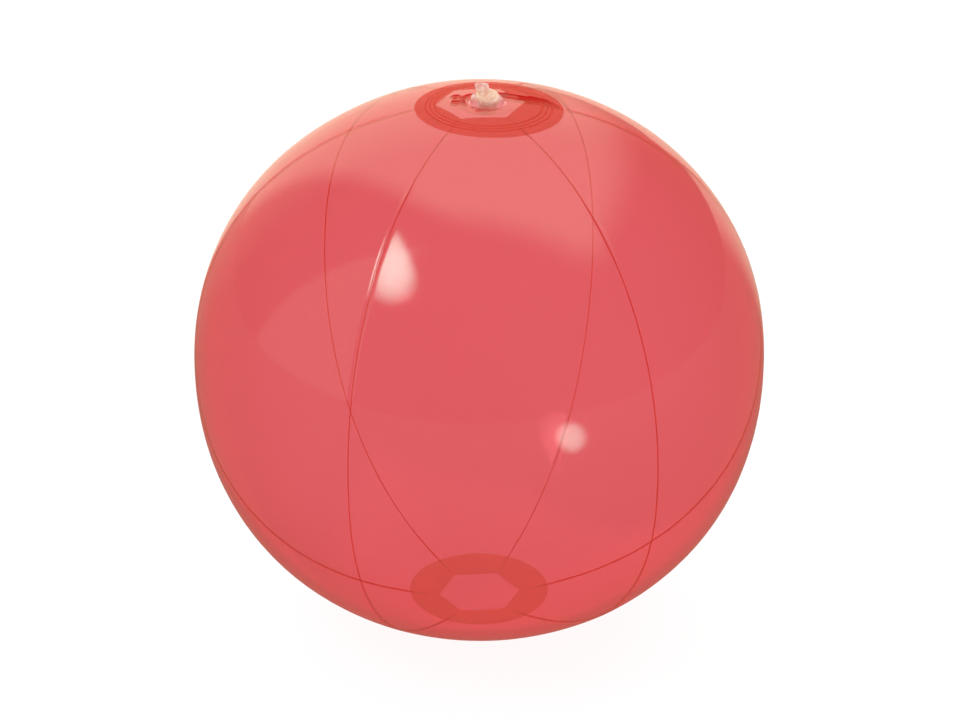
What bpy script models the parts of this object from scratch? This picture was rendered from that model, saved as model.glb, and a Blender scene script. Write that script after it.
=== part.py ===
"""An inflatable beach ball of thin PVC film, as a Blender script: metres, +Z up, z = 0 on the floor.

Six lens-shaped panels are welded edge to edge and closed by a round disc at each pole. The top disc
carries the valve: a flange welded under the film, a soft web that lets the stem be pushed into the
ball, a plug on a strap, and a flap inside that holds the air. A panel's centre faces -Y.
"""

import math

import bmesh
import bpy
from mathutils import Vector

# The inflated skin
BALL_RADIUS = 0.140  # at a panel's middle
TOP_HEIGHT = 0.976 * BALL_RADIUS  # the poles are flatter than a sphere's
BOTTOM_HEIGHT = 0.962 * BALL_RADIUS
MERIDIAN_POWER = 2.07  # 2 is an ellipse; more gives fuller shoulders
SEAM_RISE = 0.010  # how far a seam stands out past the panels' middles, as a share of the radius
CONTACT_RADIUS = 0.017  # the flat that the ball's weight presses on the floor
PANELS = 6
FILM = 0.0002
WELD_GAP = 0.00012  # between film that is welded face to face
GAP = 0.0003  # between other pieces that touch

# Panels
ARC_STEPS = 8  # facets across one panel
MERIDIAN_STEPS = 18  # facets down one panel between the discs
OPENING_FLAT = 0.0182  # from the axis to a panel's straight end, which six panels make a hexagon
SEAM_ALLOWANCE = 0.0012  # welded edge that stands inwards along each seam
END_ALLOWANCE = 0.0006  # the same where the disc presses it flat

# Polar discs
DISC_RADIUS = 0.0354
VALVE_HOLE = 0.0090
DISC_RINGS = (0.013, CONTACT_RADIUS, 0.0215, 0.025, 0.030, DISC_RADIUS)

# Valve, in radii and in heights over the top pole of the panels' skin
VALVE_SIDES = 32
FLANGE_OUTER = 0.0150
FLANGE_INNER = 0.0082
FLANGE_THICK = 0.0006
WEB_THICK = 0.0005
WEB_RISE = 0.0030
WEB_STEPS = 5
STEM_OUTER = 0.0046
STEM_BORE = 0.0033
STEM_BOTTOM = -0.0040
COLLAR_RADIUS = 0.0056
COLLAR_BOTTOM = 0.0035
COLLAR_TOP = 0.0045
PLUG_GAP = 0.00015  # between the shank and the bore
SHANK_LENGTH = 0.0070
TIP_TAPER = 0.001  # the shank's tip narrows over this length
TIP_SHARE = 0.8  # to this share of its radius
HEAD_RADIUS = 0.0056
HEAD_THICK = 0.0016
HEAD_EDGE = 0.3  # bevel round the head, as a share of its thickness
TAB_WIDTH = 0.0064
TAB_THICK = 0.0020
TAB_HEIGHT = 0.0026
TAB_CORNER = 0.3  # as a share of its width
TAB_STEPS = 4
STRAP_REACH = 0.0092
STRAP_WIDTH = 0.0032
STRAP_THICK = 0.0008
STRAP_STEPS = 10
FLAP_RADIUS = 0.0044
FLAP_THICK = 0.0007


def meridian_height(radius, pole):
    """Height of the skin over the equator at this distance from the axis."""
    share = (radius / BALL_RADIUS) ** MERIDIAN_POWER
    return pole * (1 - share) ** (1 / MERIDIAN_POWER)


CENTRE_HEIGHT = meridian_height(CONTACT_RADIUS, BOTTOM_HEIGHT) + WELD_GAP + FILM
POLE = CENTRE_HEIGHT + TOP_HEIGHT


def angle_at(radius):
    """The angle from the pole at which the skin is this far from the axis."""
    return math.asin((radius / BALL_RADIUS) ** (MERIDIAN_POWER / 2))


def rise_at(azimuth):
    """0 at a panel's centre and 1 on a seam, for an azimuth counted from any panel's centre."""
    half = math.pi / PANELS
    return (((azimuth + half) % (2 * half) - half) / half) ** 2


def skin(angle, azimuth, out=0.0):
    """The point of the skin at an angle from the top pole, moved out along the skin's normal."""
    bend = 2 / MERIDIAN_POWER
    across, up = math.sin(angle), math.cos(angle)
    pole = TOP_HEIGHT if up > 0 else BOTTOM_HEIGHT
    radius = BALL_RADIUS * across**bend
    height = math.copysign(pole * abs(up) ** bend, up)
    normal = Vector((
        across ** (2 - bend) / BALL_RADIUS,
        math.copysign(abs(up) ** (2 - bend) / pole, up),
    )).normalized()
    radius = radius * (1 + SEAM_RISE * across * rise_at(azimuth)) + out * normal.x
    return Vector((
        radius * math.sin(azimuth),
        -radius * math.cos(azimuth),
        CENTRE_HEIGHT + height + out * normal.y,
    ))


def material(name, colour, roughness, transmission):
    made = bpy.data.materials.new(name)
    made.use_nodes = True
    shader = made.node_tree.nodes["Principled BSDF"]
    shader.inputs["Base Color"].default_value = (*colour, 1)
    shader.inputs["Roughness"].default_value = roughness
    shader.inputs["Metallic"].default_value = 0
    shader.inputs["Transmission Weight"].default_value = transmission
    made.diffuse_color = (*colour, 1)
    return made


def sheet_mesh(name, outer, inner, ring):
    """A closed wall between two grids of points. A ring's columns run round and meet."""
    form = bmesh.new()
    faces = [[[form.verts.new(p) for p in row] for row in side] for side in (outer, inner)]
    front, back = faces
    rows, columns = len(outer), len(outer[0])
    last = columns if ring else columns - 1
    for i in range(rows - 1):
        for j in range(last):
            k = (j + 1) % columns
            form.faces.new((front[i][j], front[i + 1][j], front[i + 1][k], front[i][k]))
            form.faces.new((back[i][j], back[i][k], back[i + 1][k], back[i + 1][j]))
    for i in (0, rows - 1):
        for j in range(last):
            k = (j + 1) % columns
            form.faces.new((front[i][j], front[i][k], back[i][k], back[i][j]))
    if not ring:
        for j in (0, columns - 1):
            for i in range(rows - 1):
                form.faces.new((front[i][j], front[i + 1][j], back[i + 1][j], back[i][j]))
    bmesh.ops.remove_doubles(form, verts=form.verts, dist=1e-7)
    bmesh.ops.recalc_face_normals(form, faces=form.faces)
    mesh = bpy.data.meshes.new(name)
    form.to_mesh(mesh)
    form.free()
    return mesh


def add(name, mesh, paint, place=(0, 0, 0), parent=None, sharp=40):
    """An object at a world place, whose mesh is already counted from there."""
    made = bpy.data.objects.new(name, mesh)
    bpy.context.scene.collection.objects.link(made)
    if not mesh.materials:
        mesh.materials.append(paint)
    mesh.shade_smooth()
    mesh.set_sharp_from_angle(angle=math.radians(sharp))
    if parent:
        made.parent = parent
        place = Vector(place) - world_place(parent)
    made.location = place
    return made


def world_place(thing):
    """Where an unrotated object stands, through its parents."""
    here = thing.location.copy()
    return here + world_place(thing.parent) if thing.parent else here


def moved(grid, origin):
    return [[point - Vector(origin) for point in row] for row in grid]


def turned(profile, sides, origin):
    """Rings of points from (radius, height) pairs about a vertical axis through the origin."""
    return [
        [
            Vector((r * math.sin(a), -r * math.cos(a), z - origin[2]))
            for a in (2 * math.pi * k / sides for k in range(sides))
        ]
        for r, z in profile
    ]


def panel_rows():
    """Each row of a panel as a function that gives the angle from the top pole at an azimuth."""

    def straight_end(azimuth):
        return angle_at(OPENING_FLAT / math.cos(azimuth))

    under_disc = [angle_at(r) for r in DISC_RINGS if r > OPENING_FLAT / math.cos(math.pi / PANELS)]
    rim = under_disc[-1]
    step = (math.pi - 2 * rim) / MERIDIAN_STEPS
    between = [rim + step * i for i in range(1, MERIDIAN_STEPS)]
    level = under_disc + between + [math.pi - a for a in reversed(under_disc)]
    rows = [straight_end]
    rows += [lambda azimuth, angle=angle: angle for angle in level]
    rows.append(lambda azimuth: math.pi - straight_end(azimuth))
    return rows


def seam_points(angle, side, depth):
    """The welded edge beside a seam: its two faces at the skin, then at its inner end."""
    half = side * math.pi / PANELS
    away = Vector((math.cos(half), math.sin(half), 0)) * side
    at_skin, at_end = skin(angle, half), skin(angle, half, -depth)
    face, back = away * GAP / 2, away * (GAP / 2 + FILM)
    under = skin(angle, half, -FILM)
    return (at_end - face, at_end - back), (at_skin - face, under - back)


def panel_mesh():
    rows = panel_rows()
    outer, inner = [], []
    for number, row in enumerate(rows):
        end = number in (0, len(rows) - 1)
        depth = END_ALLOWANCE if end else SEAM_ALLOWANCE
        half = math.pi / PANELS
        pairs = list(seam_points(row(-half), -1, depth))
        for j in range(1, ARC_STEPS):
            azimuth = half * (2 * j / ARC_STEPS - 1)
            pairs.append((skin(row(azimuth), azimuth), skin(row(azimuth), azimuth, -FILM)))
        pairs += reversed(seam_points(row(half), 1, depth))
        outer.append([pair[0] for pair in pairs])
        inner.append([pair[1] for pair in pairs])
    centre = (0, 0, CENTRE_HEIGHT)
    return sheet_mesh("panel", moved(outer, centre), moved(inner, centre), ring=False)


def skin_ring(radius, out, top, sides):
    """A ring over or under the skin. On the floor's side, what the floor presses is level."""
    points = []
    for k in range(sides):
        azimuth = 2 * math.pi * k / sides
        angle = angle_at(radius)
        point = skin(angle if top else math.pi - angle, azimuth, out)
        if not top and radius <= CONTACT_RADIUS:
            point.z = WELD_GAP + FILM - out
        points.append(point)
    return points


def disc_mesh(top):
    """A disc that lies on the panels' ends: the top one has the valve's hole."""
    radii = ((VALVE_HOLE,) if top else (0.0, VALVE_HOLE)) + DISC_RINGS
    sides = ARC_STEPS * PANELS
    origin = (0, 0, POLE if top else 0)
    outer = [skin_ring(r, WELD_GAP + FILM, top, sides) for r in radii]
    inner = [skin_ring(r, WELD_GAP, top, sides) for r in radii]
    name = "top_disc" if top else "bottom_disc"
    return sheet_mesh(name, moved(outer, origin), moved(inner, origin), ring=True)


def flange_mesh():
    radii = (FLANGE_INNER, (FLANGE_INNER + FLANGE_OUTER) / 2, FLANGE_OUTER)
    sides = ARC_STEPS * PANELS
    origin = (0, 0, POLE)
    over = [skin_ring(r, 0, True, sides) for r in radii]
    under = [skin_ring(r, -FLANGE_THICK, True, sides) for r in radii]
    return sheet_mesh("valve_flange", moved(over, origin), moved(under, origin), ring=True)


def web_mesh(origin):
    """The soft web, a low dome from inside the flange up to the stem."""
    outside, inside = FLANGE_INNER - PLUG_GAP, STEM_OUTER + GAP
    over, under = [], []
    for i in range(WEB_STEPS + 1):
        turn = math.pi / 2 * i / WEB_STEPS
        radius = inside + (outside - inside) * math.cos(turn)
        height = POLE - FLANGE_THICK / 2 + WEB_RISE * math.sin(turn)
        lean = WEB_THICK / 2
        over.append((radius, height + lean))
        under.append((radius - WEB_THICK * math.cos(turn) * (i < WEB_STEPS), height - lean))
    return sheet_mesh(
        "valve_web",
        turned(over, VALVE_SIDES, origin),
        turned(under, VALVE_SIDES, origin),
        ring=True,
    )


def stem_mesh(origin):
    """A tube with a collar at its mouth."""
    bottom, under, mouth = (POLE + z for z in (STEM_BOTTOM, COLLAR_BOTTOM, COLLAR_TOP))
    outside = [
        (STEM_OUTER, bottom), (STEM_OUTER, under), (COLLAR_RADIUS, under), (COLLAR_RADIUS, mouth)
    ]
    bore = [(STEM_BORE, z) for _, z in outside]
    bore[2] = (STEM_BORE, (under + mouth) / 2)
    return sheet_mesh(
        "valve_stem", turned(outside, VALVE_SIDES, origin), turned(bore, VALVE_SIDES, origin), ring=True
    )


def lathe_mesh(name, profile, origin):
    """A turned solid whose (radius, height) profile starts and ends on the axis."""
    form = bmesh.new()
    rings = [[form.verts.new(p) for p in row] for row in turned(profile, VALVE_SIDES, origin)]
    for low, high in zip(rings, rings[1:]):
        for k in range(VALVE_SIDES):
            n = (k + 1) % VALVE_SIDES
            form.faces.new((low[k], low[n], high[n], high[k]))
    bmesh.ops.remove_doubles(form, verts=form.verts, dist=1e-7)
    bmesh.ops.recalc_face_normals(form, faces=form.faces)
    mesh = bpy.data.meshes.new(name)
    form.to_mesh(mesh)
    form.free()
    return mesh


def plug_mesh(origin):
    """Shank and round head."""
    shank = STEM_BORE - PLUG_GAP
    head_low = POLE + COLLAR_TOP + GAP
    head_high = head_low + HEAD_THICK
    tip = head_low - SHANK_LENGTH
    edge = HEAD_THICK * HEAD_EDGE
    return lathe_mesh("plug", [
        (0, tip), (shank * TIP_SHARE, tip), (shank, tip + TIP_TAPER), (shank, head_low),
        (HEAD_RADIUS, head_low), (HEAD_RADIUS, head_high - edge),
        (HEAD_RADIUS - edge, head_high), (0, head_high),
    ], origin)


def tab_mesh(origin):
    """The upright grip on the plug's head, with a rounded top, reaching into the head."""
    low = POLE + COLLAR_TOP + GAP + HEAD_THICK / 2
    top = low + HEAD_THICK / 2 + TAB_HEIGHT
    corner = TAB_WIDTH * TAB_CORNER
    outline = [(-TAB_WIDTH / 2, low), (TAB_WIDTH / 2, low)]
    for side in (1, -1):
        for i in range(TAB_STEPS + 1):
            share = i / TAB_STEPS
            turn = math.pi / 2 * (share if side > 0 else 1 - share)
            x = side * (TAB_WIDTH / 2 - corner + corner * math.cos(turn))
            outline.append((x, top - corner + corner * math.sin(turn)))
    form = bmesh.new()
    face = form.faces.new([
        form.verts.new((x, -TAB_THICK / 2, z - origin[2])) for x, z in outline
    ])
    grown = bmesh.ops.extrude_face_region(form, geom=[face])
    ends = [v for v in grown["geom"] if isinstance(v, bmesh.types.BMVert)]
    bmesh.ops.translate(form, vec=(0, TAB_THICK, 0), verts=ends)
    bmesh.ops.recalc_face_normals(form, faces=form.faces)
    mesh = bpy.data.meshes.new("plug_tab")
    form.to_mesh(mesh)
    form.free()
    return mesh


def strap_mesh(origin):
    """The strap that keeps the plug: a loop from the stem's collar out to the side and back to the head."""
    low = POLE + (COLLAR_BOTTOM + COLLAR_TOP) / 2
    high = POLE + COLLAR_TOP + GAP + HEAD_THICK / 2
    start = COLLAR_RADIUS + GAP
    middle, rise = (low + high) / 2, (high - low) / 2
    over, under = [], []
    for i in range(STRAP_STEPS + 1):
        turn = -math.pi / 2 + math.pi * i / STRAP_STEPS
        for line, extra in ((over, 0.5), (under, -0.5)):
            grow = extra * STRAP_THICK
            x = start + (STRAP_REACH - start + grow) * math.cos(turn)
            z = middle + (rise + grow) * math.sin(turn)
            line.append([
                Vector((-x, y - origin[1], z - origin[2]))
                for y in (-STRAP_WIDTH / 2, STRAP_WIDTH / 2)
            ])
    return sheet_mesh("plug_strap", over, under, ring=False)


def flap_mesh(origin):
    """The check flap, a thin round leaf under the stem's inner end."""
    top = POLE + STEM_BOTTOM - GAP
    mesh = lathe_mesh("check_flap", [
        (0, top - FLAP_THICK), (FLAP_RADIUS - FLAP_THICK / 2, top - FLAP_THICK),
        (FLAP_RADIUS, top - FLAP_THICK / 2), (FLAP_RADIUS, top), (0, top),
    ], origin)
    for vertex in mesh.vertices:
        vertex.co.x -= origin[0]
    return mesh


def union(base, other):
    """Joins a helper's shape to a piece, and keeps the helper out of the object."""
    joined = base.modifiers.new(other.name, "BOOLEAN")
    joined.operation = "UNION"
    joined.solver = "EXACT"
    joined.object = other
    other.hide_render = True
    other.display_type = "WIRE"


def empty(name, place):
    made = bpy.data.objects.new(name, None)
    bpy.context.scene.collection.objects.link(made)
    made.location = place
    made.empty_display_size = BALL_RADIUS / 10
    return made


def build():
    for old in list(bpy.data.objects):
        bpy.data.objects.remove(old, do_unlink=True)

    film = material("tinted_film", (0.76, 0.16, 0.15), 0.12, 0.7)
    weld = material("double_film", (0.70, 0.10, 0.08), 0.15, 0.6)
    clear = material("clear_soft_pvc", (0.86, 0.78, 0.70), 0.22, 0.6)

    centre = empty("ball_centre", (0, 0, CENTRE_HEIGHT))
    gore = panel_mesh()
    for number in range(PANELS):
        panel = add(f"panel_{number + 1}", gore, film, (0, 0, CENTRE_HEIGHT), centre)
        panel.rotation_euler.z = 2 * math.pi * number / PANELS

    pole = (0, 0, POLE)
    add("top_disc", disc_mesh(top=True), weld, pole, centre)
    add("bottom_disc", disc_mesh(top=False), weld, (0, 0, 0), centre)
    add("valve_flange", flange_mesh(), clear, pole, centre)
    add("valve_web", web_mesh(pole), clear, pole, centre)

    stem = add("valve_stem", stem_mesh(pole), clear, pole, centre)
    mouth = (0, 0, POLE + COLLAR_TOP)
    plug = add("plug", plug_mesh(mouth), clear, mouth, stem)
    union(plug, add("plug_tab", tab_mesh(mouth), clear, mouth, stem))
    add("plug_strap", strap_mesh(mouth), clear, mouth, stem)
    hinge = (-FLAP_RADIUS, 0, POLE + STEM_BOTTOM - GAP / 2)
    add("check_flap", flap_mesh(hinge), clear, hinge, stem)


build()
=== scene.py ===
"""The looks of the inflatable beach ball: fine tinted film, welds, puckers and a clear soft valve."""

import math

import bmesh
import bpy
import numpy as np
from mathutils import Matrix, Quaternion, Vector, noise


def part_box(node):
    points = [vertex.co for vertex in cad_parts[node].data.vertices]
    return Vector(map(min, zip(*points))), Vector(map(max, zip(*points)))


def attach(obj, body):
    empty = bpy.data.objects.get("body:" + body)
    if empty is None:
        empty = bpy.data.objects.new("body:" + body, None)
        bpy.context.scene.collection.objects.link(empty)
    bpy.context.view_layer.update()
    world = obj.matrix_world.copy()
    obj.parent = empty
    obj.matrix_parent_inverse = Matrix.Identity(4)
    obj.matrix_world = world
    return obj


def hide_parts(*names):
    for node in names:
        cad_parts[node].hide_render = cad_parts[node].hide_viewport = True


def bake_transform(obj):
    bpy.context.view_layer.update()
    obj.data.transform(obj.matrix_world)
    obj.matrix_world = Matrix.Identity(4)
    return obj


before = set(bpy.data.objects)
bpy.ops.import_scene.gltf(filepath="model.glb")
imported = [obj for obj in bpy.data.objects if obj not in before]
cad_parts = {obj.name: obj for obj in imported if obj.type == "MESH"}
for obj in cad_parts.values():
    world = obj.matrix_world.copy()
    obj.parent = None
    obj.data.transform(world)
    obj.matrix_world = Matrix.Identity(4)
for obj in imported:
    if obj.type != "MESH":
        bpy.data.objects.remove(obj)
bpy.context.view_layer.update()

# The skin's outline: the CAD part's, a little fuller at the shoulders and with lower seams
BALL_RADIUS = -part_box("panel_1")[0].y
TOP_HEIGHT = 0.976 * BALL_RADIUS
BOTTOM_HEIGHT = 0.962 * BALL_RADIUS
MERIDIAN_POWER = 2.13
SEAM_RISE = 0.006
SEAM_POWER = 3.5
CONTACT_RADIUS = 0.017
PANELS = 6
HALF = math.pi / PANELS
HALF_WIDTH = HALF * BALL_RADIUS
FILM = 0.0002
WELD_GAP = 0.00005  # left between two welded films
OPENING_FLAT = 0.0182  # from the axis to each side of the six-sided opening the panels leave
DISC_RADIUS = 0.0354
VALVE_HOLE = 0.0090

# The valve, in heights over the pole of the panels' skin
COLLAR_TOP = 0.0045
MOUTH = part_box("valve_stem")[1].z
POLE = MOUTH - COLLAR_TOP
CENTRE_HEIGHT = POLE - TOP_HEIGHT
FLANGE_OUTER = 0.0150
FLANGE_INNER = 0.0082
FLANGE_THICK = 0.0006

# The camera, which the studio is squared to
CAMERA_AZIMUTH = math.radians(-5.2)
CAMERA_ELEVATION = math.radians(26.33)
CAMERA_ROLL = math.radians(0.15)
CAMERA_DISTANCE = 10.19 * BALL_RADIUS
LENS = 107.9

# The welds: how each seam wanders off its true meridian, in degrees of azimuth, as
# a + b cos(angle) + c cos(2 angle); how deep its puckers are; how much deeper its fin gets near the top
SEAMS = {
    -150: ((1.6, 0.4, 0.8), 0.00008, 0.3),
    -90: ((0.0, -1.2, 1.4), 0.00003, 0.0),
    -30: ((-1.2, 0.2, -0.7), 0.00002, 0.0),
    30: ((1.9, -2.4, 1.1), 0.00002, 0.0),
    90: ((-1.7, -0.3, 1.2), 0.00008, 0.0),
    150: ((-1.2, -0.6, -0.5), 0.00022, 3.6),
}
PUCKER_REACH = 0.006
FIN_DEPTH = 0.0009
FIN_THICK = 0.00014
FIN_UNDER_DISC = 0.12  # the share of its depth that a fin keeps there
GROOVE_DEPTH = 0.00022
GROOVE_WIDTH = 0.0008
# A shallow dent in the film, counted right, away and up, and in radians
DENT_WAY = Vector((-0.50, 0.38, 0.78))
DENT_DEPTH = 0.0012
DENT_REACH = 0.36
# How far right of and behind the pole the top disc and the valve were welded
DISC_SHIFT = Vector((0.0042, -0.0008))
VALVE_SHIFT = Vector((0.0034, -0.0006))


def studio(x, y, z=0.0):
    """A vector counted right, away and up from the camera's side, in the frame's axes."""
    c, s = math.cos(CAMERA_AZIMUTH), math.sin(CAMERA_AZIMUTH)
    return Vector((x * c - y * s, x * s + y * c, z))


def smooth(x, low, high):
    t = np.clip((x - low) / (high - low), 0, 1)
    return t * t * (3 - 2 * t)


def angle_at(radius):
    return np.arcsin((radius / BALL_RADIUS) ** (MERIDIAN_POWER / 2))


def share_at(azimuth):
    """-1 and 1 on the seams and 0 at a panel's middle."""
    return ((azimuth + HALF) % (2 * HALF) - HALF) / HALF


def field(points, seed):
    """Smooth noise from -1 to 1 at an array of places."""
    shift = Vector((seed * 7.31, seed * 3.77, seed * 5.13))
    values = [noise.noise(Vector(p) + shift) for p in points.reshape(-1, 3)]
    return np.array(values).reshape(points.shape[:-1])


def seam_azimuth(place, angle):
    (a, b, c), _, _ = SEAMS[place]
    return np.radians(place + a + b * np.cos(angle) + c * np.cos(2 * angle))


def relief(angle, azimuth):
    """How far the skin lies outside its smooth shape."""
    ball = np.stack(
        [np.sin(angle) * np.sin(azimuth), -np.sin(angle) * np.cos(azimuth), np.cos(angle)], axis=-1
    )
    lift = 0.00018 * field(ball * 2.2, 1) + 0.00005 * field(ball * 6.0, 2)
    dent = np.arccos(np.clip(ball @ np.array(studio(*DENT_WAY).normalized()), -1, 1))
    lift = lift - DENT_DEPTH * np.exp(-((dent / DENT_REACH) ** 2))
    for place, (_, depth, _) in SEAMS.items():
        off = (azimuth - seam_azimuth(place, angle) + math.pi) % (2 * math.pi) - math.pi
        near = np.exp(-((off * np.sin(angle) * BALL_RADIUS / PUCKER_REACH) ** 2))
        along = np.stack([angle * 22, np.sign(off) * 0.3, 0 * angle + place], axis=-1)
        lift = lift + depth * near * (field(along, 3) + 0.6 * field(along * 2.4, 4))
    return lift * np.clip((np.sin(angle) - 0.12) / 0.15, 0, 1)


def skin(angle, azimuth, out=0.0, share=None, lift=None):
    """Points of the skin at angles from the top pole, moved out along its normal."""
    angle, azimuth = np.broadcast_arrays(angle, azimuth)
    share = share_at(azimuth) if share is None else share
    lift = relief(angle, azimuth) if lift is None else lift
    bend = 2 / MERIDIAN_POWER
    across, up = np.sin(angle), np.cos(angle)
    pole = np.where(up > 0, TOP_HEIGHT, BOTTOM_HEIGHT)
    normal = np.stack(
        [across ** (2 - bend) / BALL_RADIUS, np.sign(up) * np.abs(up) ** (2 - bend) / pole], axis=-1
    )
    normal /= np.linalg.norm(normal, axis=-1, keepdims=True)
    radius = BALL_RADIUS * across**bend * (1 + SEAM_RISE * across * np.abs(share) ** SEAM_POWER)
    radius = radius + (out + lift) * normal[..., 0]
    height = CENTRE_HEIGHT + np.sign(up) * pole * np.abs(up) ** bend + (out + lift) * normal[..., 1]
    return np.stack([radius * np.sin(azimuth), -radius * np.cos(azimuth), height], axis=-1)


# Meshes


def strip_faces(first, second, closed):
    n = len(first)
    j = np.arange(n if closed else n - 1)
    k = (j + 1) % n
    return np.stack([first[j], first[k], second[k], second[j]], -1)


def shell_parts(outer, inner, ring, slots=None, slot=0):
    """Points, faces and material slots of a closed wall between two grids. slots is one per column."""
    rows, columns = outer.shape[:2]
    index = np.arange(rows * columns).reshape(rows, columns)
    under = index + rows * columns
    faces, kinds = [], []
    across = columns if ring else columns - 1
    per_column = np.full(across, slot) if slots is None else np.array(slots)
    for i in range(rows - 1):
        faces += [strip_faces(index[i], index[i + 1], ring), strip_faces(under[i + 1], under[i], ring)]
        kinds += [per_column, per_column]
    faces += [strip_faces(under[0], index[0], ring), strip_faces(index[-1], under[-1], ring)]
    kinds += [per_column, per_column]
    if not ring:
        faces += [strip_faces(index[:, 0], under[:, 0], False), strip_faces(under[:, -1], index[:, -1], False)]
        kinds += [np.full(rows - 1, per_column[0]), np.full(rows - 1, per_column[-1])]
    points = np.concatenate([outer.reshape(-1, 3), inner.reshape(-1, 3)])
    return points, np.concatenate(faces), np.concatenate(kinds)


def build_mesh(name, parts):
    """One mesh from several closed walls, with its outside faced out."""
    points, faces, kinds, start = [], [], [], 0
    for part_points, part_faces, part_kinds in parts:
        points.append(part_points)
        faces.append(part_faces + start)
        kinds.append(part_kinds)
        start += len(part_points)
    mesh = bpy.data.meshes.new(name)
    mesh.from_pydata(np.concatenate(points).tolist(), [], np.concatenate(faces).tolist())
    mesh.polygons.foreach_set("material_index", np.concatenate(kinds).astype(np.int32))
    form = bmesh.new()
    form.from_mesh(mesh)
    bmesh.ops.remove_doubles(form, verts=form.verts, dist=2e-8)
    bmesh.ops.recalc_face_normals(form, faces=form.faces)
    form.to_mesh(mesh)
    form.free()
    return mesh


def add_piece(name, mesh, paints, node, body, sharp=50):
    made = bpy.data.objects.new(name, mesh)
    bpy.context.scene.collection.objects.link(made)
    for paint in paints:
        mesh.materials.append(paint)
    mesh.shade_smooth()
    mesh.set_sharp_from_angle(angle=math.radians(sharp))
    if body:
        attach(made, body)
    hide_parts(node)
    return made


# Materials


def new_material(name):
    made = bpy.data.materials.new(name)
    made.use_nodes = True
    made.node_tree.nodes.clear()
    return made, made.node_tree, made.node_tree.nodes.new("ShaderNodeOutputMaterial")


def feed(tree, socket, value):
    if isinstance(value, bpy.types.NodeSocket):
        tree.links.new(value, socket)
    elif isinstance(value, (tuple, list)) and len(value) == 3 and socket.type == "RGBA":
        socket.default_value = (*value, 1)
    else:
        socket.default_value = value


def math_node(tree, kind, *values):
    made = tree.nodes.new("ShaderNodeMath")
    made.operation = kind
    for socket, value in zip(made.inputs, values):
        feed(tree, socket, value)
    return made.outputs[0]


def place_of(tree, shift=(0, 0, 0), scale=(1, 1, 1)):
    where = tree.nodes.new("ShaderNodeTexCoord")
    turn = tree.nodes.new("ShaderNodeMapping")
    turn.inputs["Location"].default_value = shift
    turn.inputs["Scale"].default_value = scale
    tree.links.new(where.outputs["Object"], turn.inputs["Vector"])
    return turn.outputs[0]


def noise_node(tree, scale, detail=2.0, stretch=(1, 1, 1)):
    pattern = tree.nodes.new("ShaderNodeTexNoise")
    pattern.inputs["Scale"].default_value = scale
    pattern.inputs["Detail"].default_value = detail
    tree.links.new(place_of(tree, scale=stretch), pattern.inputs["Vector"])
    return pattern.outputs["Fac"]


def blend_colour(tree, factor, low, high):
    made = tree.nodes.new("ShaderNodeMix")
    made.data_type = "RGBA"
    feed(tree, made.inputs["Factor"], factor)
    feed(tree, made.inputs["A"], low)
    feed(tree, made.inputs["B"], high)
    return made.outputs["Result"]


def bump_node(tree, height, strength, distance):
    made = tree.nodes.new("ShaderNodeBump")
    made.inputs["Strength"].default_value = strength
    made.inputs["Distance"].default_value = distance
    tree.links.new(height, made.inputs["Height"])
    return made.outputs[0]


def mix_shader(tree, factor, first, second):
    made = tree.nodes.new("ShaderNodeMixShader")
    feed(tree, made.inputs["Fac"], factor)
    tree.links.new(first, made.inputs[1])
    tree.links.new(second, made.inputs[2])
    return made.outputs[0]


FILM_SHEEN, CLEAR_SHEEN = (0.68, 1.0, 0.80), (1.0, 1.0, 1.0)
FACE_ON_MIRROR = 0.04
SLANT_HAZE = 0.15


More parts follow.
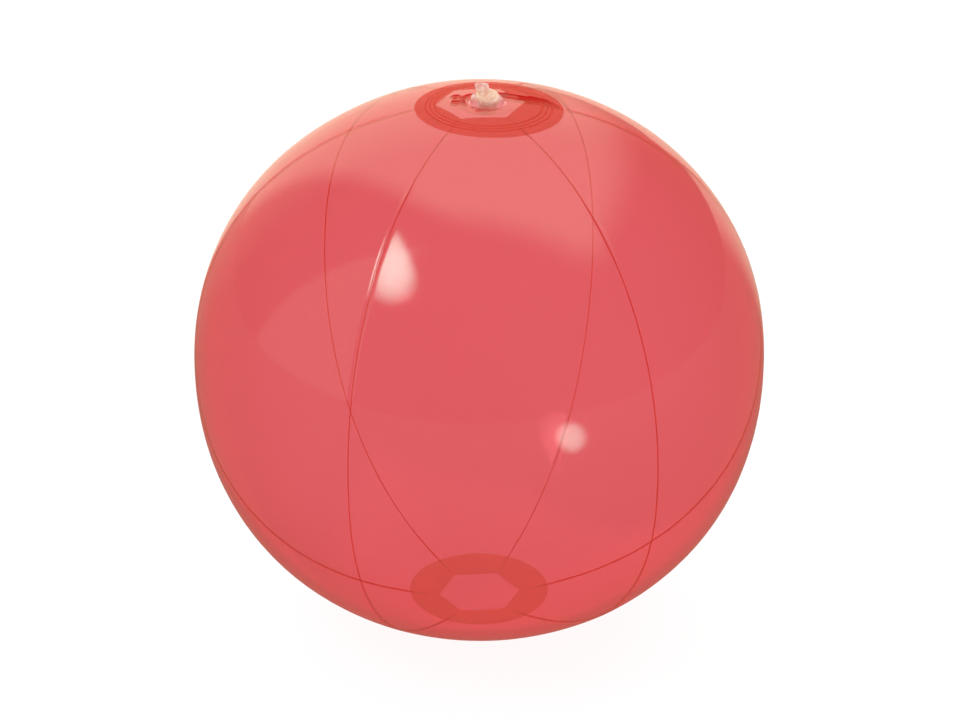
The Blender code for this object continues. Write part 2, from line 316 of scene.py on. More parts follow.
def film_material(
    name, tint, slant_tint, cloud, haze, roughness, slant_gloss=0.24, sheen=FILM_SHEEN, matte=None, painted_shade_flecks=None
):
    """Thin film: each face passes tinted light, scatters a little and mirrors more at a slant.

    matte is a mask of the film that a weld bar left dull, and painted_shade_flecks is the colour of painted
    shade in small random spots, standing in for the shadows and refraction of crumpled clear PVC."""
    made, tree, output = new_material(name)
    facing = tree.nodes.new("ShaderNodeLayerWeight")
    facing.inputs["Blend"].default_value = 0.5
    slant = facing.outputs["Facing"]
    mirror = math_node(tree, "MULTIPLY_ADD", math_node(tree, "POWER", slant, 5.0), slant_gloss, FACE_ON_MIRROR)
    through = blend_colour(tree, math_node(tree, "POWER", slant, 3.0), tint, slant_tint)
    streak = noise_node(tree, 9.0, 3.0, stretch=(1, 1, 0.5))
    streaks = blend_colour(tree, streak, (0.985, 0.955, 0.96), (1.0, 1.0, 1.0))
    product = tree.nodes.new("ShaderNodeMix")
    product.data_type = "RGBA"
    product.blend_type = "MULTIPLY"
    product.inputs["Factor"].default_value = 1.0
    tree.links.new(through, product.inputs["A"])
    tree.links.new(streaks, product.inputs["B"])
    clear = tree.nodes.new("ShaderNodeBsdfTransparent")
    tree.links.new(product.outputs["Result"], clear.inputs["Color"])

    milky = tree.nodes.new("ShaderNodeBsdfTranslucent")
    dull = tree.nodes.new("ShaderNodeBsdfDiffuse")
    mottle_and_painted_shade = noise_node(tree, 26.0, 3.0)
    # Painted shade: for clear PVC, small random spots of the scattered colour are darker and redder, standing in
    # for shadows and refraction
    if painted_shade_flecks:
        mottle_and_painted_shade = step_node(tree, noise_node(tree, 520.0, 2.0), 0.38, 0.60)
    shade = blend_colour(tree, mottle_and_painted_shade, painted_shade_flecks or tuple(c * 0.85 for c in cloud), cloud)
    tree.links.new(shade, milky.inputs["Color"])
    tree.links.new(shade, dull.inputs["Color"])
    thicker = math_node(tree, "MULTIPLY_ADD", math_node(tree, "POWER", slant, 2.5), SLANT_HAZE, haze)
    body = mix_shader(tree, thicker, clear.outputs[0], mix_shader(tree, 0.5, milky.outputs[0], dull.outputs[0]))

    gloss = tree.nodes.new("ShaderNodeBsdfGlossy")
    smear = noise_node(tree, 14.0, 4.0)
    rough = math_node(tree, "MULTIPLY_ADD", smear, 0.05, roughness)
    if matte:
        dulled = matte(tree)
        rough = math_node(tree, "MULTIPLY_ADD", dulled, 0.32, rough)
        mirror = math_node(tree, "MULTIPLY", mirror, math_node(tree, "MULTIPLY_ADD", dulled, -0.75, 1.0))
    tree.links.new(rough, gloss.inputs["Roughness"])
    tree.links.new(blend_colour(tree, smear, tuple(c * 0.96 for c in sheen), sheen), gloss.inputs["Color"])
    grain = noise_node(tree, 600.0 if painted_shade_flecks else 160.0, 3.0)
    bump = bump_node(tree, grain, 0.7 if painted_shade_flecks else 0.08, 0.0004 if painted_shade_flecks else 0.0002)
    tree.links.new(bump, gloss.inputs["Normal"])
    tree.links.new(mix_shader(tree, mirror, body, gloss.outputs[0]), output.inputs["Surface"])
    return made


# The weld lines pressed into the discs, by radius
WELD_FIRST, WELD_LAST, WELD_PITCH = 0.0257, 0.0306, 0.0022
WELD_HEIGHT = 0.00008
WELD_WIDTH = 0.00065


def pressed_ring(tree):
    """1 over the panels' ends, which stop at a six-sided opening: the weld bars leave the film dull there."""
    ground = place_of(tree)
    far = 0.0
    for number in range(PANELS // 2):
        turn = 2 * HALF * number
        flat = dot_node(tree, ground, (math.sin(turn), -math.cos(turn), 0))
        far = math_node(tree, "MAXIMUM", math_node(tree, "ABSOLUTE", flat), far)
    return step_node(tree, far, OPENING_FLAT, OPENING_FLAT + 0.0008)


# Panels

# The columns' distances from a seam, closer together beside it
SEAM_STEPS = (0.00002, 0.0003, 0.0006, 0.0010, 0.0015, 0.0022, 0.0032, 0.0046, 0.0065, 0.009, 0.0125,
              0.017, 0.0225, 0.029, 0.036, 0.0435, 0.0515, 0.0600, 0.0670)
PANEL_ROWS = 180
END_ROWS = 7


def panel_angles(middle, share):
    """The angle from the top pole of every row, at each share of the way from middle to seam."""
    turn = math.radians(middle) + share * HALF
    shift = studio(*DISC_SHIFT)
    along = shift.x * np.sin(turn) - shift.y * np.cos(turn)
    rims = [angle_at(along + np.sqrt(DISC_RADIUS**2 - shift.length_squared + along**2))]
    rims.append(angle_at(DISC_RADIUS) + 0 * along)
    end = angle_at(OPENING_FLAT / np.cos(share * HALF))
    steps = np.linspace(0, 1, END_ROWS)[:-1, None]
    top, bottom = (end * (1 - steps) + rim * steps for rim in rims)
    down = np.linspace(0, 1, PANEL_ROWS)[:, None]
    body = rims[0] * (1 - down) + (math.pi - rims[1]) * down
    return np.concatenate([top, body, math.pi - bottom[::-1]])


def fin_depth(place, angle):
    """A seam's welded allowance: trimmed flat under the discs, wavy, and wide where it puckered."""
    waves = field(np.stack([angle * 30, 0 * angle, 0 * angle + place], axis=-1), 5)
    deep = 1 + 0.2 * waves + SEAMS[place][2] * np.exp(-(((angle - 0.52) / 0.22) ** 2)) * (1 + 0.5 * waves)
    trimmed = smooth(np.minimum(angle, math.pi - angle), 0.14, 0.27)
    return FIN_DEPTH * (FIN_UNDER_DISC + (1 - FIN_UNDER_DISC) * trimmed * deep)


def panel_parts(middle):
    """A gore between its two seams, with a welded fin turned inwards along each."""
    near = np.array(SEAM_STEPS) / HALF_WIDTH
    share = np.concatenate([-1 + near, [0.0], 1 - near[::-1]])
    angle = panel_angles(middle, share)
    places = [(middle + side * 30 + 180) % 360 - 180 for side in (-1, 1)]
    edges = []
    for place, side in zip(places, (-1, 1)):
        edge = seam_azimuth(place, angle)
        edges.append(edge + 2 * math.pi * round((middle + side * 30 - place) / 360))
    azimuth = edges[0] + (edges[1] - edges[0]) * (share[None, :] + 1) / 2
    from_seam = (1 - np.abs(share))[None, :] * HALF_WIDTH * np.sin(angle)
    groove = GROOVE_DEPTH * np.exp(-((from_seam / GROOVE_WIDTH) ** 2))
    lift = relief(angle, azimuth) - groove * smooth(np.sin(angle), 0.24, 0.30)
    shares = share[None, :] + 0 * angle
    outer, inner = skin(angle, azimuth, 0, shares, lift), skin(angle, azimuth, -FILM, shares, lift)
    fins = []
    for column, side, place in ((0, -1, places[0]), (-1, 1, places[1])):
        turn, theta = azimuth[:, column], angle[:, column]
        away = np.stack([np.cos(turn), np.sin(turn), 0 * turn], axis=-1) * side
        tip = skin(theta, turn, -fin_depth(place, theta), shares[:, column], lift[:, column])
        fins.append((tip, tip - away * FIN_THICK))
        inner[:, column] -= away * FIN_THICK
    outer = np.concatenate([fins[0][0][:, None], outer, fins[1][0][:, None]], axis=1)
    inner = np.concatenate([fins[0][1][:, None], inner, fins[1][1][:, None]], axis=1)
    slots = [1] + [0] * (outer.shape[1] - 3) + [1]
    points, faces, kinds = shell_parts(outer, inner, ring=False, slots=slots)
    row = (faces % (outer.shape[0] * outer.shape[1])).min(axis=1) // outer.shape[1]
    under_disc = (row < END_ROWS - 1) | (row >= outer.shape[0] - END_ROWS)
    return [(points, faces, np.where(under_disc, 2, kinds))]


# Discs

# Pleats in the top disc beside the valve: points right of and behind the pole, then the pleat's depth
PLEATS = (
    (((4, 15.5), (8.5, 10.5), (14, 8.8), (20, 7.4), (26, 8.2), (32, 7.6), (38, 4.5)), 0.0022),
    (((-1.5, 9.5), (-5.5, 7.6), (-8.2, 4), (-8.6, -0.5), (-6.4, -5)), 0.0022),
    (((-8.2, 6), (-10.5, 7.6), (-12.5, 7), (-14.5, 9)), 0.0014),
    (((-8.6, 0.8), (-10.4, -0.6), (-12.8, 0), (-14, -2)), 0.0016),
    (((9.5, 8), (12, 12), (14.5, 13.5)), 0.0012),
)
PLEAT_RISE = 0.0009
PLEAT_REACH = 0.0010
PLEAT_THICK = 0.0008
PLEAT_CREST = 0.0006


def pleat_path(points, steps=60):
    """The pleat's points on the ground, evenly spaced and slightly uneven."""
    corners = np.array([tuple(studio(x / 1000, y / 1000))[:2] for x, y in points])
    at = np.linspace(0, len(corners) - 1, steps)
    path = np.stack([np.interp(at, range(len(corners)), corners[:, i]) for i in (0, 1)], axis=-1)
    for _ in range(6):
        path[1:-1] = (path[:-2] + 2 * path[1:-1] + path[2:]) / 4
    return path


PLEAT_PATHS = [(pleat_path(points), depth) for points, depth in PLEATS]


def on_cap(ground, out, lift=0.0):
    """Points of the top cap over points on the ground."""
    radius = np.maximum(np.hypot(ground[..., 0], ground[..., 1]), 1e-6)
    azimuth = np.arctan2(ground[..., 0], -ground[..., 1])
    angle = angle_at(radius)
    return skin(angle, azimuth, out, lift=relief(angle, azimuth) + lift)


def pleat_lift(ground):
    """How far the film stands up beside each pleat, which leaves a low ridge with a soft foot."""
    lift = np.zeros(ground.shape[:-1])
    for path, depth in PLEAT_PATHS:
        far = np.sqrt(((ground[..., None, :] - path) ** 2).sum(-1))
        share = np.argmin(far, axis=-1) / (len(path) - 1)
        fade = smooth(share, -0.02, 0.15) * (1 - smooth(share, 0.75, 1.02))
        ridge = np.exp(-((far.min(-1) / PLEAT_REACH) ** 2))
        lift = np.maximum(lift, PLEAT_RISE * depth / 0.002 * ridge * fade)
    return lift


def pleat_parts():
    """The folded film that hangs under each pleat."""
    parts = []
    for path, depth in PLEAT_PATHS:
        along = np.gradient(path, axis=0)
        along /= np.linalg.norm(along, axis=-1, keepdims=True)
        side = np.stack([-along[:, 1], along[:, 0]], axis=-1) * PLEAT_THICK / 2
        share = np.linspace(0, 1, len(path))
        drop = depth * np.sin(np.pi * np.clip(share, 0.02, 0.98)) ** 0.5
        wave = 1 + 0.3 * field(np.stack([share * 9, 0 * share, 0 * share + depth * 1000], -1), 6)
        crest = pleat_lift(path) + PLEAT_CREST * np.sin(np.pi * share) * wave
        rows = [-crest, 0.0004 + 0 * share, 0.5 * drop * wave + 0.0004, drop * wave + 0.0004]
        faces = [
            np.stack([on_cap(path + sign * side, -row) for row in rows]) for sign in (1, -1)
        ]
        parts.append(shell_parts(faces[0], faces[1], ring=False, slot=1))
    return parts


RING_FIRST, RING_LAST, RING_STEP = 0.0258, 0.0342, 0.00012  # the finely spaced rows that carry the weld lines
DISC_INNER_ROWS, DISC_COLUMNS = 44, 288
OVER_FLOOR = 0.00002  # keeps the resting film off the floor's own plane


def from_line(radius):
    """How far a radius is from the nearest weld line."""
    return np.abs((radius - WELD_FIRST + WELD_PITCH / 2) % WELD_PITCH - WELD_PITCH / 2)


def disc_parts(top):
    """A disc's wall, with its weld lines, and the top disc's pleats."""
    coarse = np.linspace(VALVE_HOLE if top else 0.0, 0.0256, DISC_INNER_ROWS)
    fine = np.arange(RING_FIRST, RING_LAST, RING_STEP)
    radii = np.concatenate([coarse, fine, [0.0347, DISC_RADIUS - RING_STEP, DISC_RADIUS]])[:, None]
    turn = np.linspace(0, 2 * math.pi, DISC_COLUMNS, endpoint=False)[None, :]
    x, y = radii * np.sin(turn), -radii * np.cos(turn)
    lines = np.exp(-((from_line(radii) / WELD_WIDTH) ** 2))
    lines = WELD_HEIGHT * lines * smooth(radii, WELD_FIRST - 0.0004, WELD_FIRST)
    lines = lines * (1 - smooth(radii, WELD_LAST, WELD_LAST + 0.0004))
    sides = []
    for out in (WELD_GAP + FILM, WELD_GAP):
        lift = (lines if out > WELD_GAP else 0) + 0 * turn
        if top:
            hole, rim = studio(*VALVE_SHIFT), studio(*DISC_SHIFT)
            moved = smooth(radii, 0.016, DISC_RADIUS)
            ground = np.stack(
                [x + hole.x + (rim.x - hole.x) * moved, y + hole.y + (rim.y - hole.y) * moved], axis=-1
            )
            sides.append(on_cap(ground, out, lift + pleat_lift(ground)))
            continue
        angle = math.pi - angle_at(np.maximum(radii, 1e-6)) + 0 * turn
        points = skin(angle, turn + 0 * radii, out, lift=relief(angle, turn + 0 * radii) + lift)
        level = WELD_GAP + FILM - out + OVER_FLOOR
        pressed = smooth(-radii, -CONTACT_RADIUS - 0.0008, -CONTACT_RADIUS + 0.0006)
        points[..., 2] = np.maximum(points[..., 2] * (1 - pressed) + level * pressed, level)
        sides.append(points)
    points, faces, kinds = shell_parts(sides[0], sides[1], ring=True)
    row = np.minimum((faces % sides[0][..., 0].size).min(axis=1) // turn.size, len(radii) - 2)
    middle = (radii[row, 0] + radii[row + 1, 0]) / 2
    pressed = (from_line(middle) < WELD_WIDTH / 2) & (middle > WELD_FIRST - WELD_WIDTH) & (middle < WELD_LAST)
    kinds = np.where(pressed, 2 if top else 0, kinds)
    return [(points, faces, kinds)] + (pleat_parts() if top else [])


# Valve


def rounded(profile, reach, steps=5):
    """A closed (radius, height) outline with its corners rounded."""
    made = []
    for i, corner in enumerate(profile):
        here = Vector(corner)
        before, after = Vector(profile[i - 1]) - here, Vector(profile[(i + 1) % len(profile)]) - here
        if before.length < 1e-7 or after.length < 1e-7 or here.x < 1e-6:
            made.append(tuple(here))
            continue
        pull = min(reach, before.length * 0.45, after.length * 0.45)
        a, b = here + before.normalized() * pull, here + after.normalized() * pull
        for k in range(steps + 1):
            t = k / steps
            made.append(tuple(a * (1 - t) ** 2 + here * 2 * t * (1 - t) + b * t**2))
    return made


def finer(profile, longest):
    """The same outline with extra points on its long edges."""
    made = []
    for i, corner in enumerate(profile):
        a, b = Vector(corner), Vector(profile[(i + 1) % len(profile)])
        count = max(1, math.ceil((b - a).length / longest))
        made += [tuple(a.lerp(b, k / count)) for k in range(count)]
    return made


def lathe(name, profile, sides=120, wobble=0.0, seed=0, closed=True):
    """A turned solid: an outline of (radius, height over the pole). A solid one starts and ends on the axis."""
    turn = np.linspace(0, 2 * math.pi, sides, endpoint=False)
    loop = np.array(profile)
    points = np.stack([
        loop[None, :, 0] * np.sin(turn)[:, None],
        -loop[None, :, 0] * np.cos(turn)[:, None],
        POLE + loop[None, :, 1] + 0 * turn[:, None],
    ], axis=-1)
    if wobble:
        shake = np.stack([field(points * 260, seed + k) for k in range(3)], axis=-1)
        points = points + wobble * shake * np.minimum(1, loop[None, :, :1] / 0.002)
    n = len(loop)
    last = n if closed else n - 1
    faces = [
        (i * n + j, i * n + (j + 1) % n, ((i + 1) % sides) * n + (j + 1) % n, ((i + 1) % sides) * n + j)
        for i in range(sides) for j in range(last)
    ]
    return build_mesh(name, [(points.reshape(-1, 3), np.array(faces), np.zeros(len(faces), int))])


def flange_mesh():
    """The ring welded under the top disc, with fine ribs on its underside."""
    between = np.linspace(FLANGE_INNER + 0.0002, FLANGE_OUTER - 0.0002, 40)
    radii = np.concatenate([[FLANGE_INNER], between, [FLANGE_OUTER]])
    turn = np.linspace(0, 2 * math.pi, 192, endpoint=False)[None, :]
    edge = np.minimum(smooth(radii, FLANGE_INNER - 0.0002, FLANGE_INNER + 0.0004),
                      1 - smooth(radii, FLANGE_OUTER - 0.0006, FLANGE_OUTER + 0.0002))[:, None]
    rings = 0.00005 * np.sin((radii - FLANGE_INNER) * 2 * math.pi / 0.0011)[:, None]
    shift = studio(*VALVE_SHIFT)
    sides = []
    for sign in (1, -1):
        half = (FLANGE_THICK / 2 - 0.00002) * (0.35 + 0.65 * edge)
        out = -FLANGE_THICK / 2 + sign * half + (rings * edge if sign < 0 else 0)
        ground = np.stack([
            radii[:, None] * np.sin(turn) + shift.x, -radii[:, None] * np.cos(turn) + shift.y
        ], axis=-1)
        far = np.maximum(np.hypot(ground[..., 0], ground[..., 1]), 1e-6)
        azimuth = np.arctan2(ground[..., 0], -ground[..., 1])
        sides.append(skin(angle_at(far), azimuth, out + 0 * turn, lift=0 * far))
    return build_mesh("clear_flange", [shell_parts(sides[0], sides[1], ring=True)])


def web_mesh():
    """A soft dome with shallow folds, from inside the flange up to the stem."""
    outside, inside, rise, thick = 0.00805, 0.0049, 0.0030, 0.0005
    turn = np.linspace(0, 2 * math.pi, 160, endpoint=False)[None, :]
    share = np.linspace(0, math.pi / 2, 22)[:, None]
    sides = []
    for sign in (1, -1):
        radius = inside + (outside - inside) * np.cos(share) - (thick * np.cos(share) if sign < 0 else 0)
        radius = np.maximum(radius, inside)
        height = -FLANGE_THICK / 2 + rise * np.sin(share) + sign * thick / 2
        folds = 0.00016 * np.sin(share * 2) * np.sin(7 * turn + 1.3 * np.sin(2 * turn + 0.7))
        crumple = np.stack([turn * 1.9 + 0 * share, share * 2.5 + 0 * turn, 0 * share * turn], axis=-1)
        bulge = 0.00022 * np.sin(share * 2) * field(crumple, 8) * (np.abs(turn - math.pi) < 2.9)
        radius = radius + folds + bulge
        sides.append(np.stack([
            radius * np.sin(turn), -radius * np.cos(turn), POLE + height + 0.5 * (folds + bulge)
        ], axis=-1))
    return build_mesh("clear_web", [shell_parts(sides[0], sides[1], ring=True)])


STEM_BOTTOM, STEM_OUTER, STEM_BORE = -0.0040, 0.0046, 0.0033
COLLAR_RADIUS, COLLAR_BOTTOM = 0.0056, 0.0035
PLUG_GAP, SHANK_LENGTH = 0.00015, 0.0070
HEAD_LOW, HEAD_THICK, HEAD_RADIUS = COLLAR_TOP + 0.0003, 0.0016, 0.0056
GRIP_HALF = Vector((0.0034, 0.0010, 0.0020))
GRIP_PLACE, GRIP_ACROSS, GRIP_LEAN = (-0.0020, 0.0022), (1.0, 0.15), 0.35
# How the settled head leans, sinks into its web and crumples, growing between two heights
HEAD_TIP, HEAD_SINK, HEAD_SWELL, HEAD_LUMP = 0.30, 0.0026, 0.10, 0.00035
HEAD_FROM, HEAD_TO = 0.0022, 0.0046


def stem_mesh():
    outline = [
        (STEM_BORE, STEM_BOTTOM), (STEM_OUTER, STEM_BOTTOM), (STEM_OUTER, COLLAR_BOTTOM),
        (COLLAR_RADIUS, COLLAR_BOTTOM), (COLLAR_RADIUS, COLLAR_TOP), (STEM_BORE, COLLAR_TOP),
    ]
    return lathe("clear_stem", finer(rounded(outline, 0.00035), 0.0005), wobble=0.00006, seed=11)


def plug_mesh():
    """Shank, a head with a raised rim, and an upright grip that leans away."""
    shank, tip = STEM_BORE - PLUG_GAP, HEAD_LOW - SHANK_LENGTH
    high = HEAD_LOW + HEAD_THICK
    outline = [
        (0, tip), (shank * 0.8, tip), (shank, tip + 0.001), (shank, HEAD_LOW + 0.0001),
        (HEAD_RADIUS, HEAD_LOW), (HEAD_RADIUS, high - 0.0002), (HEAD_RADIUS - 0.0006, high + 0.0001),
        (HEAD_RADIUS - 0.0014, high), (HEAD_RADIUS - 0.0019, high - 0.0006), (0.0012, high - 0.0004),
        (0, high - 0.0002),
    ]
    body = lathe("clear_plug", finer(rounded(outline, 0.0003), 0.0006), wobble=0.00010, seed=15, closed=False)
    half = GRIP_HALF
    across = studio(*GRIP_ACROSS).normalized()
    away = studio(-GRIP_ACROSS[1], GRIP_ACROSS[0]).normalized()
    middle = studio(*GRIP_PLACE) + Vector((0, 0, POLE + high + half.z - 0.0008))
    grip = bmesh.new()
    bmesh.ops.create_cube(grip, size=2.0)
    bmesh.ops.subdivide_edges(grip, edges=grip.edges, cuts=7, use_grid_fill=True)
    for vertex in grip.verts:
        q = vertex.co.copy()
        size = (abs(q.x) ** 4 + abs(q.y) ** 4 + abs(q.z) ** 4) ** 0.25
        q *= max(abs(q.x), abs(q.y), abs(q.z)) / size
        waist = 1 - 0.3 * max(0, 1 - q.x * q.x) * (q.z > -0.2)
        lean = GRIP_LEAN * (q.z + 1) * half.z
        vertex.co = middle + across * (q.x * half.x - 0.6 * lean) + away * (q.y * half.y * waist + lean)
        vertex.co.z += q.z * half.z
    for face in grip.faces:
        face.material_index = 1
    grip_mesh = bpy.data.meshes.new("grip")
    grip.to_mesh(grip_mesh)
    grip.free()
    form = bmesh.new()
    form.from_mesh(body)
    form.from_mesh(grip_mesh)
    form.to_mesh(body)
    form.free()
    bpy.data.meshes.remove(grip_mesh)
    return body


def strap_mesh():
    """A flat strap with rolled edges, looped out to the side."""
    low, high = (COLLAR_BOTTOM + COLLAR_TOP) / 2, HEAD_LOW + HEAD_THICK / 2
    start, reach, width, thick = COLLAR_RADIUS + 0.0003, 0.0075, 0.0032, 0.0008
    steps, around = 48, 20
    rows = []
    for i in range(steps + 1):
        turn = -math.pi / 2 + math.pi * i / steps
        out = Vector((math.cos(turn), 0, math.sin(turn)))
        centre = Vector((start + (reach - start) * out.x, 0, (low + high) / 2 + (high - low) / 2 * out.z))
        row = []
        for k in range(around):
            a = 2 * math.pi * k / around
            c, s = math.cos(a), math.sin(a)
            across = math.copysign(abs(c) ** 0.6, c) * width / 2 * (1 - 0.12 * math.sin(turn + math.pi / 2))
            through = math.copysign(abs(s) ** 0.8, s) * thick / 2
            p = centre + out * through
            row.append((-p.x, across, POLE + p.z))
        rows.append(row)
    grid = np.array(rows)
    index = np.arange(grid.shape[0] * around).reshape(-1, around)
    faces = np.concatenate([strip_faces(index[i], index[i + 1], True) for i in range(steps)])
    mesh = bpy.data.meshes.new("clear_strap")
    mesh.from_pydata(grid.reshape(-1, 3).tolist(), [], faces.tolist() + [index[0].tolist(), index[-1].tolist()])
    form = bmesh.new()
    form.from_mesh(mesh)
    bmesh.ops.recalc_face_normals(form, faces=form.faces)
    form.to_mesh(mesh)
    form.free()
    return mesh


def flap_mesh():
    """The round leaf under the stem, a little thicker in its middle."""
    high = STEM_BOTTOM - 0.0003
    radius, thick = 0.0044, 0.0007
    outline = [
        (0, high - thick * 1.3), (radius * 0.5, high - thick * 1.15), (radius - 0.0002, high - thick),
        (radius, high - thick / 2), (radius - 0.0001, high), (0, high),
    ]
    return lathe("clear_flap", rounded(outline, 0.0003), wobble=0.00004, seed=19, closed=False)


def settle(mesh):
    """The valve as welded: a little off the pole, with its crumpled head tipped to the front and right."""
    shift = studio(*VALVE_SHIFT)
    tip = studio(-0.4, 1.0)
    for vertex in mesh.vertices:
        p = vertex.co.copy()
        high = float(smooth(p.z - POLE, HEAD_FROM, HEAD_TO))
        lump = noise.noise(p * 330 + Vector((3, 1, 7))) * 0.5 + noise.noise(p * 170)
        out = Vector((p.x, p.y, 0))
        vertex.co += out * (HEAD_SWELL * lump * high)
        vertex.co.z += high * (HEAD_TIP * p.dot(tip) + HEAD_LUMP * lump - HEAD_SINK)
        vertex.co += shift
    return mesh


# Stage


def make_camera():
    data = bpy.data.cameras.new("camera")
    data.lens = LENS
    made = bpy.data.objects.new("camera", data)
    bpy.context.scene.collection.objects.link(made)
    back = studio(0, -math.cos(CAMERA_ELEVATION), math.sin(CAMERA_ELEVATION))
    right = studio(1, 0)
    up = back.cross(right)
    target = Vector((0, 0, CENTRE_HEIGHT)) + right * 0.0002 - up * 0.0001
    made.location = target + back * CAMERA_DISTANCE
    made.rotation_mode = "QUATERNION"
    made.rotation_quaternion = (-back).to_track_quat("-Z", "Y")
    made.rotation_quaternion = Quaternion(back, CAMERA_ROLL) @ made.rotation_quaternion
    bpy.context.scene.camera = made


BASE_LIGHT, FLOOR_LIGHT = 0.40, 0.45
SOFT_LIGHT = 0.60  # more of it for what the film scatters
ROOM_COLOUR = (0.93, 0.93, 0.88)
LAMP_COLOUR = (0.62, 1.05, 1.10)
# Soft patches of light, as the way to one, its edge from dark to full, and its brightness
FAR_PATCH = ((-0.28, 1.0, 0.16), 0.72, 0.98, 0.60)
FLOOR_PATCH = ((0.06, 1.0), 0.76, 0.90, 1.6)
# Parts of the room that are lit: brightness, then its edges as (way to the lit side, softness)
ROOM = (
    (1.55, (((0.815, 0.55, 0.179), 0.09), ((-0.770, 0.075, 0.634), 0.13), ((0.205, 0.977, 0.057), 0.16))),
    (0.55, (((-0.156, -0.942, -0.295), 0.03), ((-0.606, 0.795, 0.0), 0.04))),
)
# Soft lamps: way to it, its upward side, half width, half height, how fast it narrows upward, brightness
LAMPS = (
    ((-0.482, -0.300, 0.822), (0.10, 0.897, 0.432), 0.100, 0.235, 0.22, 9.5),
    ((0.532, -0.837, -0.130), (0.0, 0.15, 1.0), 0.080, 0.060, 0.0, 6.5),
)
FLOOR_HALF = 6.0


def dot_node(tree, direction, way):
    made = tree.nodes.new("ShaderNodeVectorMath")
    made.operation = "DOT_PRODUCT"
    tree.links.new(direction, made.inputs[0])
    made.inputs[1].default_value = way
    return made.outputs["Value"]


def step_node(tree, value, low, high):
    made = tree.nodes.new("ShaderNodeMapRange")
    made.interpolation_type = "SMOOTHSTEP"
    tree.links.new(value, made.inputs["Value"])
    made.inputs["From Min"].default_value = low
    made.inputs["From Max"].default_value = high
    return made.outputs["Result"]


def room_light(tree, direction, base, floor=False):
    """The room's colour each way from the ball's centre: dim, with lit parts and two soft lamps."""
    path = tree.nodes.new("ShaderNodeLightPath")
    total = math_node(tree, "MULTIPLY_ADD", path.outputs["Is Diffuse Ray"], SOFT_LIGHT, base)
    for way, low, high, light in (FAR_PATCH, FLOOR_PATCH) if floor else (FAR_PATCH,):
        patch = step_node(tree, dot_node(tree, direction, studio(*way).normalized()), low, high)
        total = math_node(tree, "MULTIPLY_ADD", patch, light, total)
    for light, edges in () if floor else ROOM:
        lit = 1.0
        for way, soft in edges:
            edge = step_node(tree, dot_node(tree, direction, studio(*way).normalized()), -soft, soft)
            lit = math_node(tree, "MULTIPLY", edge, lit)
        total = math_node(tree, "MULTIPLY_ADD", lit, light, total)
    lamps = 0.0
    for way, top, wide, tall, taper, light in LAMPS:
        middle = studio(*way).normalized()
        rise = studio(*top)
        rise = (rise - middle * rise.dot(middle)).normalized()
        up = dot_node(tree, direction, rise)
        width = math_node(tree, "MAXIMUM", math_node(tree, "MULTIPLY_ADD", up, -taper, wide), 0.02)
        across = math_node(tree, "DIVIDE", dot_node(tree, direction, middle.cross(rise)), width)
        along = math_node(tree, "DIVIDE", up, tall)
        squares = [math_node(tree, "MULTIPLY", share, share) for share in (across, along)]
        glow = step_node(tree, math_node(tree, "ADD", *squares), 1.8, 0.05)
        glow = math_node(tree, "MULTIPLY", glow, step_node(tree, dot_node(tree, direction, middle), 0.4, 0.6))
        lamps = math_node(tree, "MULTIPLY_ADD", glow, light, lamps)
    colours = []
    for value, colour in ((total, ROOM_COLOUR), (lamps, LAMP_COLOUR)):
        scaled = tree.nodes.new("ShaderNodeVectorMath")
        scaled.operation = "SCALE"
        scaled.inputs[0].default_value = colour
        tree.links.new(value, scaled.inputs["Scale"])
        colours.append(scaled.outputs[0])
    joined = tree.nodes.new("ShaderNodeVectorMath")
    joined.operation = "ADD"
    for socket, colour in zip(joined.inputs, colours):
        tree.links.new(colour, socket)
    return joined.outputs[0]


def make_world():
    """A pale room: plain white to look at, with its lit parts and soft lamps for the film."""
    world = bpy.data.worlds.new("studio")
    bpy.context.scene.world = world
    world.use_nodes = True
    tree = world.node_tree
    tree.nodes.clear()
    output = tree.nodes.new("ShaderNodeOutputWorld")
    direction = tree.nodes.new("ShaderNodeTexCoord").outputs["Generated"]
    room = tree.nodes.new("ShaderNodeBackground")
    tree.links.new(room_light(tree, direction, BASE_LIGHT), room.inputs["Color"])
    seen = tree.nodes.new("ShaderNodeBackground")
    seen.inputs["Color"].default_value = (1, 1, 1, 1)
    path = tree.nodes.new("ShaderNodeLightPath")
    either = mix_shader(tree, path.outputs["Is Camera Ray"], room.outputs[0], seen.outputs[0])
    tree.links.new(either, output.inputs["Surface"])


def make_floor():
    """A pale floor that glows as the room does over it, and is plain white to look at."""
    made, tree, output = new_material("pale_floor")
    dull = tree.nodes.new("ShaderNodeBsdfDiffuse")
    grain = noise_node(tree, 40.0, 3.0)
    tree.links.new(blend_colour(tree, grain, (0.90, 0.90, 0.90), (0.93, 0.93, 0.93)), dull.inputs["Color"])
    away = tree.nodes.new("ShaderNodeVectorMath")
    away.operation = "NORMALIZE"
    tree.links.new(place_of(tree, shift=(0, 0, -CENTRE_HEIGHT)), away.inputs[0])
    path = tree.nodes.new("ShaderNodeLightPath")
    lights = room_light(tree, away.outputs[0], FLOOR_LIGHT, floor=True)
    lit = blend_colour(tree, path.outputs["Is Camera Ray"], lights, (1.04, 1.04, 1.04))
    glow = tree.nodes.new("ShaderNodeEmission")
    tree.links.new(lit, glow.inputs["Color"])
    tree.links.new(mix_shader(tree, 0.88, dull.outputs[0], glow.outputs[0]), output.inputs["Surface"])
    mesh = bpy.data.meshes.new("floor")
    corners = [(x * FLOOR_HALF, y * FLOOR_HALF, 0) for x, y in ((-1, -1), (1, -1), (1, 1), (-1, 1))]
    mesh.from_pydata(corners, [], [(0, 1, 2, 3)])
    mesh.materials.append(made)
    floor = bpy.data.objects.new("floor", mesh)
    bpy.context.scene.collection.objects.link(floor)


# Pieces

TINT, SLANT_TINT = (0.959, 0.588, 0.626), (0.985, 0.510, 0.545)
CLOUD = (0.97, 0.20, 0.10)
DISC_CLOUD = (0.98, 0.26, 0.12)

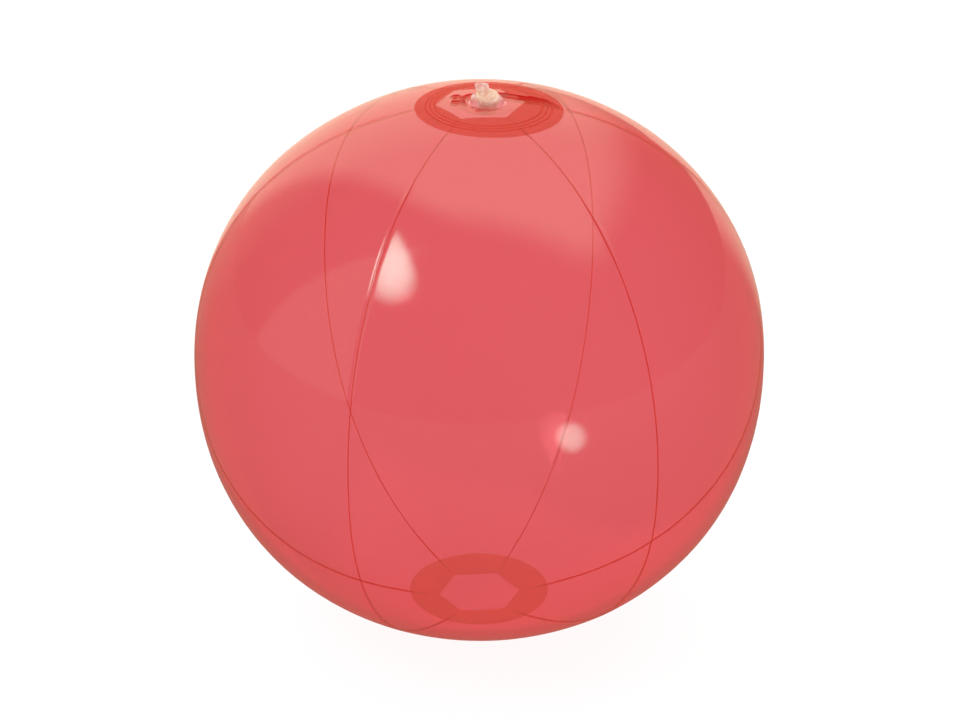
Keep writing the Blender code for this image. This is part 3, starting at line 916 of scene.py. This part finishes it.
film = film_material("tinted_film", TINT, SLANT_TINT, CLOUD, 0.055, 0.05)
weld = film_material("welded_film", (1.0, 0.62, 0.56), (0.992, 0.54, 0.49), (0.98, 0.10, 0.06), 0.05, 0.15, 0.02)
ends = film_material("pressed_film", (0.98, 0.86, 0.74), (0.98, 0.80, 0.66), DISC_CLOUD, 0.05, 0.35, 0.10)
fold = film_material("folded_film", (0.95, 0.18, 0.22), (0.93, 0.14, 0.18), (0.90, 0.04, 0.05), 0.22, 0.12, 0.10)
top_film = film_material("top_disc_film", TINT, SLANT_TINT, DISC_CLOUD, 0.07, 0.06, matte=pressed_ring)
line_film = film_material(
    "weld_line_film", (0.94, 0.38, 0.36), (0.94, 0.34, 0.32), (0.86, 0.12, 0.07), 0.32, 0.06, matte=pressed_ring
)
bottom_film = film_material("bottom_disc_film", TINT, SLANT_TINT, DISC_CLOUD, 0.07, 0.06, matte=pressed_ring)
# The clear PVC's fleck colours are painted shade, standing in for shadows and refraction in the crumpled plastic
clear = film_material(
    "clear_soft_pvc", (0.98, 0.93, 0.90), (0.95, 0.84, 0.80), (1.0, 0.95, 0.91), 0.42, 0.10, 0.6,
    sheen=CLEAR_SHEEN, painted_shade_flecks=(0.92, 0.60, 0.55),
)
thin = film_material(
    "thin_soft_pvc", (0.98, 0.90, 0.87), (0.95, 0.80, 0.77), (1.0, 0.88, 0.84), 0.16, 0.10, 0.6,
    sheen=CLEAR_SHEEN, painted_shade_flecks=(0.95, 0.55, 0.50),
)
cream = film_material(
    "cream_soft_pvc", (0.98, 0.91, 0.82), (0.95, 0.82, 0.70), (1.0, 0.92, 0.80), 0.60, 0.14, 0.6,
    sheen=CLEAR_SHEEN, painted_shade_flecks=(0.94, 0.66, 0.46),
)

for number in range(1, PANELS + 1):
    name = f"film_panel_{number}"
    mesh = build_mesh(name, panel_parts(60 * (number - 1)))
    add_piece(name, mesh, (film, weld, ends), f"panel_{number}", "ball")
for side, paints in (("top", (top_film, fold, line_film)), ("bottom", (bottom_film,))):
    name = f"film_{side}_disc"
    mesh = build_mesh(name, disc_parts(side == "top"))
    add_piece(name, mesh, paints, f"{side}_disc", "ball")
for name, mesh, paints, node, body in (
    ("clear_flange", flange_mesh(), (thin,), "valve_flange", "ball"),
    ("clear_web", settle(web_mesh()), (thin,), "valve_web", None),
    ("clear_stem", settle(stem_mesh()), (clear,), "valve_stem", "stem"),
    ("clear_plug", settle(plug_mesh()), (cream, clear), "plug", "plug"),
    ("clear_strap", settle(strap_mesh()), (clear,), "plug_strap", None),
    ("clear_flap", settle(flap_mesh()), (clear,), "check_flap", None),
):
    made = add_piece(name, mesh, paints, node, body, sharp=60)
    if node == "valve_web":
        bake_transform(made)
    elif node == "plug_strap":
        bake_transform(made)
    elif node == "check_flap":
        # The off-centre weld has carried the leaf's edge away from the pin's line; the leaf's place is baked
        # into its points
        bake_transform(made)

make_camera()
make_world()
make_floor()
bpy.context.scene.view_settings.view_transform = "Standard"
bpy.context.scene.cycles.transparent_max_bounces = 64
